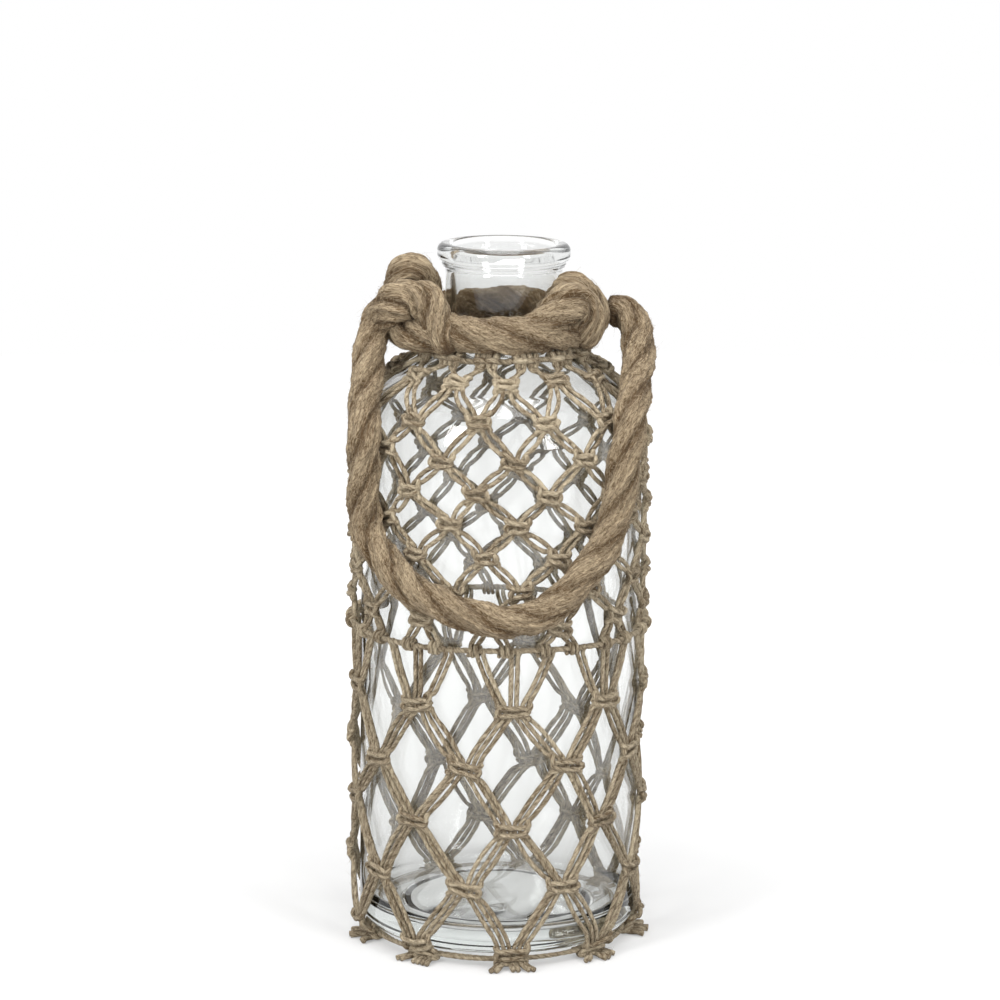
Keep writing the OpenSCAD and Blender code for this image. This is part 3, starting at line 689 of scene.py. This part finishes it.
class VASE_OT_rope_knots(bpy.types.Operator):
    """Ties the two knots that carry the handle: each is turns of rope round the handle's end and the collar."""
    bl_idname = "vase.rope_knots"
    bl_label = "Rope knots"

    def execute(self, context):
        r = context.scene.vase_rope
        pitch = r.pitch / MM * 0.8
        rng = np.random.default_rng(8)
        s = Surface()
        # Painted shade darkens the ends of the knot ropes, where they tuck under the other turns.
        rope(s, [(-52, -9.5, 264.5), (-49.5, -13.5, 270.5), (-44, -17.5, 275), (-36.5, -19.5, 276.5),
                 (-30.5, -22.5, 273), (-27.5, -26.5, 266.5), (-24.5, -29.5, 260.5), (-21, -30.5, 256.5)],
             (6.3, 7.8, 8.6, 8.3, 7.3, 6.4, 5.6), rng, pitch, taper=(1, 5), shade=(0, 6), depth=0.1)
        rope(s, [(-46, 6, 268), (-46, 1, 276), (-44.5, -3, 283), (-41, -5, 287.2), (-37, -4, 287), (-34.5, 0, 282),
                 (-33, 5, 275), (-33, 9, 268)], 6.4, rng, pitch, taper=(4, 4), shade=(6, 6))
        rope(s, [(-16, -29.4, 263.5), (-23, -26.5, 262.5), (-30, -24, 261.5), (-36.5, -20.5, 261), (-41.5, -14, 261.5),
                 (-45, -5, 264), (-45, 4, 268)], (6, 6.6, 6.9, 6.6, 6), rng, pitch, taper=(5, 5), shade=(5, 6))
        left = s.build("left_knot_cord", "vase", materials()["rope"], "jute_rope")
        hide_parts("left_knot")
        s = Surface()
        rope(s, [(7, -33, 263.5), (16, -29.5, 266.5), (24, -24, 272), (29.5, -19, 275), (33, -16.5, 271),
                 (33.5, -15, 264), (30.5, -13, 258.5)], (6.4, 7.4, 8.6, 9.4, 9.4, 8.4), rng, pitch, taper=(5, 5),
             shade=(4, 5), depth=0.1)
        rope(s, [(20, 0, 266), (23, -8, 275), (28, -12, 280.5), (34, -11, 277.5), (38, -9, 270), (37.5, -6, 262)],
             6.6, rng, pitch, taper=(5, 5), shade=(6, 8))
        right = s.build("right_knot_cord", "vase", materials()["rope"], "jute_rope")
        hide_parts("right_knot")
        return {"FINISHED"}


# The net.

def twine_sweep(surface, points, rng, radius=1.0, step=0.8, first=(0, -1, 0.1), blunt=0.6, hair=0.0):
    """One length of two-ply twine through the points."""
    path, run = smooth_path(points, step)
    size = radius * (1 + 0.09 * np.sin(run / 1.9 + rng.uniform(0, 6)) * np.sin(run / 3.3 + rng.uniform(0, 6)))
    # Each length of twine gets a random tone of its own.
    core = sweep(surface, path, run, size, 8, rng, strands=2, depth=0.07, pitch=11, first=first, blunt=blunt,
                 lay_turn=0.5, added_shade_and_tone=rng.normal(0.12, 0.35))
    count = rng.poisson(run[-1] * hair)
    if count:
        hairs(surface, core, count, rng, (2, 6), 0.4, 0.3, 0.045, 0.35, 0.6)
    return path


SQUARE_A = np.array([
    (-1.55, 3.3, 0.5), (-1.6, 2.6, 0.9), (-1.15, 1.9, 1.9), (-0.6, 1.6, 2.3), (0, 1.45, 2.4), (0.6, 1.3, 2.2),
    (1.15, 1.0, 1.5), (1.45, 0.1, 0.6), (1.1, -0.9, 1.5), (0.6, -1.3, 2.2), (0, -1.5, 2.4), (-0.6, -1.6, 2.3),
    (-1.2, -1.9, 1.6), (-1.6, -2.6, 0.8), (-1.55, -3.4, 0.5)])
SQUARE_B = np.array([
    (1.55, 3.3, 0.7), (1.65, 2.2, 1.9), (1.4, 1.0, 1.9), (0.8, 0.4, 0.3), (0, 0.2, 0.0), (-0.8, 0.4, 0.3),
    (-1.35, 0.8, 1.6), (-1.6, 0.0, 2.4), (-1.5, -0.9, 2.3), (-1.25, -1.7, 1.2), (-0.6, -2.2, 0.2),
    (0.2, -2.3, 0.0), (0.9, -2.2, 0.5), (1.4, -2.6, 1.0), (1.55, -3.4, 0.6)])


class Net:
    """Places of the knots, and the ways to draw a knot and a link on the glass."""

    def __init__(self, scene, seed):
        self.o = Outline(scene.vase_glass)
        self.n = scene.vase_net
        self.r = self.n.twine / MM / 2
        self.rng = np.random.default_rng(seed)
        self.slack = self.n.slack / MM
        self.leader = self.n.leader_height / MM
        self.up, self.low = self.n.upper_columns, self.n.lower_columns
        place = np.random.default_rng(77)
        self.jolt = {}
        for row in range(0, 9):
            self.jolt["u", row] = place.normal(0, self.slack, (self.up, 2))
        for row in range(0, 7):
            self.jolt["l", row] = place.normal(0, self.slack * 1.2, (self.low, 2))
        self.tip = {key: place.normal(0, 0.13, len(v)) for key, v in self.jolt.items()}

    def upper(self, row, i):
        """Length round the bottle as an angle, and height, of an upper knot. Row 0 is the top cord."""
        step = 2 * pi / self.up
        i = i % self.up
        if row == 0:
            z = self.leader + 11.3 + 7 * 13.85 + 8
            return radians(2.5) - step / 2 + i * step, z
        az = radians(2.5 + (row - 1)) + (0 if row % 2 else step / 2) + i * step
        z = self.leader + 11.3 + (8 - row) * 13.85
        dx, dz = self.jolt["u", row][i]
        return az + dx / float(self.o.radius(z)), z + dz

    def lower(self, row, i):
        """The same of a lower knot."""
        step = 2 * pi / self.low
        i = i % self.low
        az = radians(6) + (0 if row % 2 else step / 2) + i * step
        z = self.leader - 25.3 - (row - 1) * 26.3
        dx, dz = self.jolt["l", row][i]
        return az + dx / self.o.body, z + dz

    def local(self, az, z, points, tip=0.0):
        """Points given as sideways, up along the glass, and off it, round a knot at az and z."""
        p = np.asarray(points, float)
        x = p[:, 0] * cos(tip) - p[:, 1] * sin(tip)
        v = p[:, 0] * sin(tip) + p[:, 1] * cos(tip)
        zz = z + v * np.cos(self.o.tilt(z))
        return self.o.turned(az + x / self.o.radius(zz), zz, p[:, 2])

    def square(self, s, az, z, half, tip, flip, rise=1.0, hair=0.0):
        """A square knot: two working cords, each crossing over and behind the cords in the middle."""
        for shape in (SQUARE_A, SQUARE_B):
            p = shape.copy()
            p[:, 0] = np.sign(p[:, 0]) * np.minimum(np.abs(p[:, 0]), 1) * half + np.sign(p[:, 0]) * np.maximum(
                np.abs(p[:, 0]) - 1, 0) * 2.6
            p[:, 1] *= rise
            p[:, 2] = 1.25 + p[:, 2] * 0.95
            if flip:
                p[:, 0] *= -1
            p += self.rng.normal(0, 0.2, p.shape)
            p[:, 2] = np.maximum(p[:, 2], 1.25)
            twine_sweep(s, self.local(az, z, p, tip), self.rng, self.r * 1.1, step=0.75, hair=hair)

    def link(self, s, a, b, xa, xb, tip_a, tip_b, bow, start=(0.4, 2.0), end=(2.2, 0.3), reach=2.5, hair=0.0):
        """A cord from under one knot to under the next, bowed a little to its side."""
        (az0, z0), (az1, z1) = a, b
        r = float(self.o.radius((z0 + z1) / 2))
        turn = (az1 - az0) * r
        t = np.linspace(0, 1, 7)
        head = np.array([(xa, -start[0], start[1]), (xa * 1.02, -reach, 1.5)])
        foot = np.array([(xb * 1.02, reach, 1.5), (xb, end[1], end[0])])
        top = self.local(az0, z0, head, tip_a)
        low = self.local(az1, z1, foot, tip_b)
        xs = (1 - t) * (az0 + xa / float(self.o.radius(z0 - reach))) + t * (az1 + xb / float(self.o.radius(z1 + reach)))
        zs = (1 - t) * (z0 - reach) + t * (z1 + reach)
        away = np.sin(t * pi) * bow
        size = np.hypot(turn, z0 - z1)
        xs = xs + away * abs(z0 - z1) / size / r
        zs = zs + away * turn / size
        mid = self.o.turned(xs, zs, 1.35 + 0.1 * np.sin(t * pi))[1:-1]
        twine_sweep(s, np.vstack([top, mid, low]), self.rng, self.r, step=1.0, hair=hair)

    def coil(self, s, az, z, off, turns, long, big=2.1, hair=0.0):
        """A hitch: a few turns of twine wound round a level cord."""
        a = np.linspace(0, 2 * pi * turns, int(10 * turns) + 1)
        x = np.linspace(-long / 2, long / 2, len(a))
        p = np.stack([x, big * np.cos(a + pi), off + big * np.sin(a + pi)], 1)
        twine_sweep(s, self.local(az, z, p), self.rng, self.r * 0.95, step=0.8, hair=hair)


HAIR = 0.45


class VASE_OT_upper_net(bpy.types.Operator):
    """Knots the upper net: the top cord with its hitches, and eight rows of four-cord square knots."""
    bl_idname = "vase.upper_net"
    bl_label = "Upper net"

    def execute(self, context):
        mat = materials()["twine"]
        net = Net(context.scene, 21)
        step = 2 * pi / net.up
        s = Surface()
        az0, z0 = net.upper(0, 0)
        a = np.linspace(0, 2 * pi, 40, endpoint=False)
        ring = net.o.turned(a, z0 + 0.4 * np.sin(3 * a), 2.4)
        path, run = smooth_path(ring, 0.9, True)
        sweep(s, path, run, 1.35, 10, net.rng, strands=2, depth=0.22, pitch=7, closed=True, lay_turn=1.0)
        for i in range(net.up):
            az, z = net.upper(0, i)
            for x, d in ((-3.5, -0.4), (-1.2, 0.2), (1.2, -0.2), (3.5, 0.4)):
                x += net.rng.normal(0, 0.2)
                hook = [(x, -3.2, 1.5), (x + d * 0.4, -1.0, 4.0), (x + d, 0.8, 4.9), (x + d, 2.4, 3.6),
                        (x + d * 0.6, 2.6, 1.9), (x, 1.4, 1.2)]
                twine_sweep(s, net.local(az, z, hook), net.rng, net.r * 1.3, step=0.8, hair=HAIR)
            for x in (-2.4, 2.4):
                x += net.rng.normal(0, 0.2)
                bar = [(x - 2.0, 0.2, 2.4), (x - 1.9, -1.5, 4.0), (x - 0.9, -2.1, 5.0), (x + 0.9, -2.1, 5.0),
                       (x + 1.9, -1.5, 4.0), (x + 2.0, 0.2, 2.4)]
                twine_sweep(s, net.local(az, z, bar), net.rng, net.r * 1.35, step=0.7, hair=HAIR)
            for side in (-1, 1):
                j = i if side > 0 else i - 1
                b = net.upper(1, j)
                if side < 0 and i == 0:
                    b = (b[0] - 2 * pi, b[1])
                for n, x in enumerate((1.2, 3.5)):
                    net.link(s, (az, z), b, side * x, -side * (3.6, 1.2)[n], 0, net.tip["u", 1][j % net.up],
                             (0.5 - n) * side * 1.2, start=(0.0, 2.8), hair=HAIR)
        end = net.o.turned(np.radians([52, 56, 60, 63]), [250.5, 253, 256, 259.5], [3.5, 4.2, 4.6, 5.5])
        twine_sweep(s, end, net.rng, 2.5, step=0.7, blunt=0.4, hair=HAIR * 6)
        obj = s.build("net_top_twine", "vase", mat, "jute_twine")
        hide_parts("net_top_cord")
        for row in range(1, 9):
            s = Surface()
            for i in range(net.up):
                az, z = net.upper(row, i)
                tip = net.tip["u", row][i]
                net.square(s, az, z, 3.1, tip, (row + i) % 2 == 0, rise=1.15, hair=HAIR)
                for side in (-1, 1):
                    if row < 8:
                        j = i + (side > 0) - (row % 2)
                        b = net.upper(row + 1, j)
                        b = (az + (b[0] - az + pi) % (2 * pi) - pi, b[1])
                        tip_b = net.tip["u", row + 1][j % net.up]
                        goal = (-3.6, -1.2)
                        end = (2.2, 0.4)
                    else:
                        b = (az + side * (step / 4 - radians(1)), net.leader)
                        tip_b, goal, end = 0, (-1.3, 1.3), (3.4, 0.6)
                    for n, x in enumerate((1.2, 3.7)):
                        bow = (0.6 - n * 1.2) * side * net.rng.uniform(0.7, 1.8)
                        net.link(s, (az, z), b, side * x, side * goal[n], tip, tip_b, -bow * (1 if row < 8 else 0.4),
                                 end=end, hair=HAIR)
            obj = s.build(f"upper_twine_{row}", "vase", mat, "jute_twine")
            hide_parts(f"upper_row_{row}")
        return {"FINISHED"}


class VASE_OT_leader(bpy.types.Operator):
    """Lays the level cord between the nets, its hitches, and the cords that gather into the lower net."""
    bl_idname = "vase.leader"
    bl_label = "Leader cord"

    def execute(self, context):
        net = Net(context.scene, 31)
        s = Surface()
        a = np.linspace(0, 2 * pi, 60, endpoint=False)
        path, run = smooth_path(net.o.turned(a, net.leader + 0.35 * np.sin(4 * a + 1), 2.4), 0.9, True)
        sweep(s, path, run, 1.3, 10, net.rng, strands=2, depth=0.22, pitch=7, closed=True, lay_turn=1.0)
        step = 2 * pi / net.up
        for i in range(net.up):
            az, _ = net.upper(8, i)
            for side in (-1, 1):
                net.coil(s, az + side * (step / 4 - radians(1)), net.leader, 2.45, 2.4, 4.8, hair=HAIR)
        step = 2 * pi / net.low
        for i in range(net.low):
            az, z = net.lower(1, i)
            for side in (-1, 0, 1):
                top = (radians(6) + i * step + side * step / 3 + net.rng.normal(0, 0.008), net.leader)
                for n in (-1, 1):
                    net.link(s, top, (az, z), n * 1.3, side * 4.9 + n * 1.2, 0, net.tip["l", 1][i],
                             side * 0.5, start=(-0.8, 3.4), hair=HAIR)
        obj = s.build("leader_twine", "vase", materials()["twine"], "jute_twine")
        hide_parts("leader_cord")
        return {"FINISHED"}


class VASE_OT_lower_net(bpy.types.Operator):
    """Knots the lower net: five rows of six-cord square knots with bands of three cords between."""
    bl_idname = "vase.lower_net"
    bl_label = "Lower net"

    def execute(self, context):
        net = Net(context.scene, 41)
        for row in range(1, 6):
            s = Surface()
            for i in range(net.low):
                az, z = net.lower(row, i)
                tip = net.tip["l", row][i]
                net.square(s, az, z, 5.2, tip, (row + i) % 2 == 0, rise=1.15, hair=HAIR)
                for side in (-1, 1):
                    if row < 5:
                        j = i + (side > 0) - (row % 2)
                        b = net.lower(row + 1, j)
                        b = (az + (b[0] - az + pi) % (2 * pi) - pi, b[1])
                        for n, x in enumerate((1.0, 3.3, 5.6)):
                            bow = net.rng.normal(0, 0.45) + (n - 1) * 0.65
                            net.link(s, (az, z), b, side * x, -side * (5.6, 3.3, 1.0)[n], tip,
                                     net.tip["l", row + 1][j % net.low], bow * side, reach=2.3, hair=HAIR)
                    else:
                        for x in (1.0, 2.8, 4.6):
                            p = net.o.turned(az + side * np.array([x, x, x * 0.92, x * 0.85]) / net.o.body,
                                             [z - 0.5, z - 3.5, 1.0, -2.0], [2.0, 1.6, 1.5, 2.4])
                            twine_sweep(s, p, net.rng, net.r, step=0.8, hair=HAIR)
            obj = s.build(f"lower_twine_{row}", "vase", materials()["twine"], "jute_twine")
            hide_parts(f"lower_row_{row}")
        return {"FINISHED"}


class VASE_OT_base(bpy.types.Operator):
    """Lays the ring cord under the heel and ties the nine foot knots with their cut ends."""
    bl_idname = "vase.base"
    bl_label = "Base cord and knots"

    def execute(self, context):
        net = Net(context.scene, 51)
        mat = materials()["twine"]
        s = Surface()
        a = np.linspace(0, 2 * pi, 48, endpoint=False)
        for r, z in ((net.o.body - 6.9, -2.93), (net.o.body - 4.5, -2.33)):
            ring = np.stack([r * np.sin(a), -r * np.cos(a), z + 0.25 * np.sin(5 * a + r)], 1)
            path, run = smooth_path(ring, 1.0, True)
            sweep(s, path, run, 1.05, 8, net.rng, strands=2, depth=0.22, pitch=6.5, closed=True, lay_turn=1.0)
        obj = s.build("base_ring_twine", "vase", mat, "jute_twine")
        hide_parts("base_ring_cord")
        s = Surface()
        low = FLOOR_Z / MM
        for i in range(net.low):
            az, _ = net.lower(5, i)
            c, d = cos(az), sin(az)

            def spot(points):
                p = np.array(points, float)
                p[:, 2] = np.maximum(p[:, 2], low + 1.0)
                x, y = p[:, 0], p[:, 1] + net.o.body - 58.5
                return np.stack([x * c + y * d, x * d - y * c, p[:, 2]], 1)
            w = net.rng.normal(0, 0.35, 12)
            for shift, out in ((-1.3, 57.0), (1.4, 57.8)):
                wrap = [(-5.2 + w[0], 51.5, -3.4), (-6.4, 53.5, -4.4), (-6.2, 56.0, -3.2 + shift * 0.7),
                        (-3, out, -2.5 + shift), (0 + w[1], out + 0.4, -2.4 + shift + w[2]),
                        (3, out, -2.8 + shift), (6.1, 56.0, -3.2 + shift * 0.6), (6.5, 53.6, -4.2),
                        (5.2 + w[3], 51.4, -3.2)]
                twine_sweep(s, spot(wrap), net.rng, net.r * 1.08, step=0.7, hair=HAIR)
            for x in (-4.8, -2.9, -1, 1, 2.9, 4.8):
                core = [(x, 55.4, 1.6), (x * 0.95, 56.2, -1.4), (x * 0.9, 55.6, -3.8), (x * 0.85, 53.0, -4.9),
                        (x * 0.8, 50.6, -4.2)]
                twine_sweep(s, spot(core), net.rng, net.r * 1.1, step=0.8)
            for n, (x, fan) in enumerate(((-4.2, -0.55), (0.4, 0.1), (4.0, 0.6))):
                fan += w[4 + n] * 0.7
                n_long = 5.2 + 3.0 * abs(w[7 + n])
                for k in (-0.95, 0.95):
                    tail = [(x + k * 0.6, 53.5, -4.2), (x + k + 0.8 * sin(fan), 56.8, -4.1 + w[10]),
                            (x + k + n_long * 0.6 * sin(fan), 57 + n_long * 0.5, -4.4),
                            (x + k * 1.2 + n_long * sin(fan), 57 + n_long * cos(fan), -4.6 - 0.3 * abs(k))]
                    twine_sweep(s, spot(tail), net.rng, net.r * 1.15, step=0.8, blunt=0.15, hair=HAIR * 2)
        for co in s.co:
            co[:, 2] = np.maximum(co[:, 2], low + 0.02)
        obj = s.build("base_knot_twine", "vase", mat, "jute_twine")
        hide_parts("base_knots")
        return {"FINISHED"}


# The stage.

class VASE_OT_stage(bpy.types.Operator):
    """Sets up the camera, the even world light, two tall soft lamps and a pale floor."""
    bl_idname = "vase.stage"
    bl_label = "Stage"

    def execute(self, context):
        st = context.scene.vase_stage
        scene = context.scene
        cam = bpy.data.cameras.new("Camera")
        cam.lens, cam.sensor_width, cam.clip_end = st.focal, 36.0, 50.0
        eye = bpy.data.objects.new("Camera", cam)
        eye.location = (-0.0006, -st.distance, st.height)
        eye.rotation_euler = (Matrix.Rotation(pi / 2 - st.pitch, 3, "X")
                              @ Matrix.Rotation(st.roll, 3, "Z")).to_euler()
        scene.collection.objects.link(eye)
        scene.camera = eye
        scene.view_settings.view_transform = "Standard"

        def seen(tree):
            """One for rays that show the background: from the camera, by reflection or through glass."""
            path = tree.nodes.new("ShaderNodeLightPath")
            add = tree.nodes.new("ShaderNodeMath")
            more = tree.nodes.new("ShaderNodeMath")
            add.operation = more.operation = "ADD"
            more.use_clamp = True
            link(tree, path.outputs["Is Camera Ray"], add.inputs[0])
            link(tree, path.outputs["Is Glossy Ray"], add.inputs[1])
            link(tree, add.outputs[0], more.inputs[0])
            link(tree, path.outputs["Is Transmission Ray"], more.inputs[1])
            return more.outputs[0]

        world = bpy.data.worlds.new("Studio")
        scene.world = world
        world.use_nodes = True
        tree = world.node_tree
        back = tree.nodes["Background"]
        back.inputs["Color"].default_value = (1, 1, 1, 1)
        strength = tree.nodes.new("ShaderNodeMix")
        strength.inputs[2].default_value = st.world
        strength.inputs[3].default_value = 1.0
        link(tree, seen(tree), strength.inputs[0])
        link(tree, strength.outputs[0], back.inputs["Strength"])

        size = 1.6
        n = 24
        a = np.linspace(0, 2 * pi, 96, endpoint=False)[None, :]
        r = np.linspace(size / n, size, n)[:, None]
        co = np.stack(np.broadcast_arrays(r * np.cos(a), r * np.sin(a), FLOOR_Z), -1).reshape(-1, 3)
        co = np.vstack([co, [[0, 0, FLOOR_Z]]])
        j = np.arange(96)
        faces = [tuple(f) for f in grid_faces(n, 96)[:, ::-1].tolist()]
        faces += [(int(p), int(q), n * 96) for p, q in zip(j, (j + 1) % 96)]
        mesh = bpy.data.meshes.new("floor")
        mesh.from_pydata(co.tolist(), [], faces)
        floor = bpy.data.objects.new("floor", mesh)
        scene.collection.objects.link(floor)
        m = bpy.data.materials.new("White floor")
        m.use_nodes = True
        tree = m.node_tree
        shader = tree.nodes["Principled BSDF"]
        shader.inputs["Base Color"].default_value = (0.55, 0.55, 0.55, 1)
        shader.inputs["Roughness"].default_value = 0.9
        shader.inputs["Specular IOR Level"].default_value = 0.0
        shader.inputs["Emission Color"].default_value = (1, 1, 1, 1)
        glow = tree.nodes.new("ShaderNodeMath")
        glow.operation = "MULTIPLY"
        spot = tree.nodes.new("ShaderNodeTexCoord")
        away = tree.nodes.new("ShaderNodeVectorMath")
        away.operation = "LENGTH"
        grow = tree.nodes.new("ShaderNodeMapRange")
        grow.inputs["From Min"].default_value, grow.inputs["From Max"].default_value = 0.14, 0.55
        grow.inputs["To Min"].default_value, grow.inputs["To Max"].default_value = 0.33, 0.62
        link(tree, spot.outputs["Object"], away.inputs[0])
        link(tree, away.outputs["Value"], grow.inputs["Value"])
        link(tree, grow.outputs["Result"], glow.inputs[1])
        link(tree, seen(tree), glow.inputs[0])
        link(tree, glow.outputs[0], shader.inputs["Emission Strength"])
        mesh.materials.append(m)

        for name, x, y, z, wide, tall, power in (
                ("Left lamp", -1.0, -1.15, 0.75, 0.35, 1.0, 1.0), ("Right lamp", 1.05, -1.2, 0.7, 0.3, 1.0, 0.8),
                ("Top lamp", 0.0, -0.3, 1.7, 1.0, 1.0, 1.1)):
            lamp = bpy.data.lights.new(name, "AREA")
            lamp.shape, lamp.size, lamp.size_y, lamp.energy = "RECTANGLE", wide, tall, st.lamps * power
            obj = bpy.data.objects.new(name, lamp)
            obj.location = (x, y, z)
            aim = np.array([0, 0, 0.16]) - np.array([x, y, z])
            level = sqrt(aim[0] ** 2 + aim[1] ** 2)
            obj.rotation_euler = (pi / 2 + np.arctan2(aim[2], level), 0, np.arctan2(aim[1], aim[0]) - pi / 2)
            scene.collection.objects.link(obj)
        return {"FINISHED"}


class VASE_PT_panel(bpy.types.Panel):
    """Sizes and pieces of the vase."""
    bl_label = "Netted bottle vase"
    bl_idname = "VASE_PT_panel"
    bl_space_type = "VIEW_3D"
    bl_region_type = "UI"
    bl_category = "Vase"

    def draw(self, context):
        for kind in OPERATORS:
            self.layout.operator(kind.bl_idname)
        for group in ("vase_glass", "vase_rope", "vase_net", "vase_stage"):
            box = self.layout.box()
            settings = getattr(context.scene, group)
            for name in settings.__annotations__:
                box.prop(settings, name)


SETTINGS = {"vase_glass": GlassSettings, "vase_rope": RopeSettings, "vase_net": NetSettings,
            "vase_stage": StageSettings}
OPERATORS = (VASE_OT_stage, VASE_OT_handle, VASE_OT_collar, VASE_OT_rope_knots, VASE_OT_glass,
             VASE_OT_upper_net, VASE_OT_leader, VASE_OT_lower_net, VASE_OT_base)


def register():
    for kind in (*SETTINGS.values(), *OPERATORS, VASE_PT_panel):
        bpy.utils.register_class(kind)
    for name, kind in SETTINGS.items():
        setattr(bpy.types.Scene, name, bpy.props.PointerProperty(type=kind))


def unregister():
    for name in SETTINGS:
        delattr(bpy.types.Scene, name)
    for kind in (VASE_PT_panel, *reversed(OPERATORS), *SETTINGS.values()):
        bpy.utils.unregister_class(kind)


def main():
    """Registers the classes and makes every piece in order."""
    register()
    for make in (bpy.ops.vase.stage, bpy.ops.vase.handle, bpy.ops.vase.collar, bpy.ops.vase.rope_knots,
                 bpy.ops.vase.glass, bpy.ops.vase.upper_net, bpy.ops.vase.leader, bpy.ops.vase.lower_net,
                 bpy.ops.vase.base):
        make()


if __name__ == "__main__":
    main()
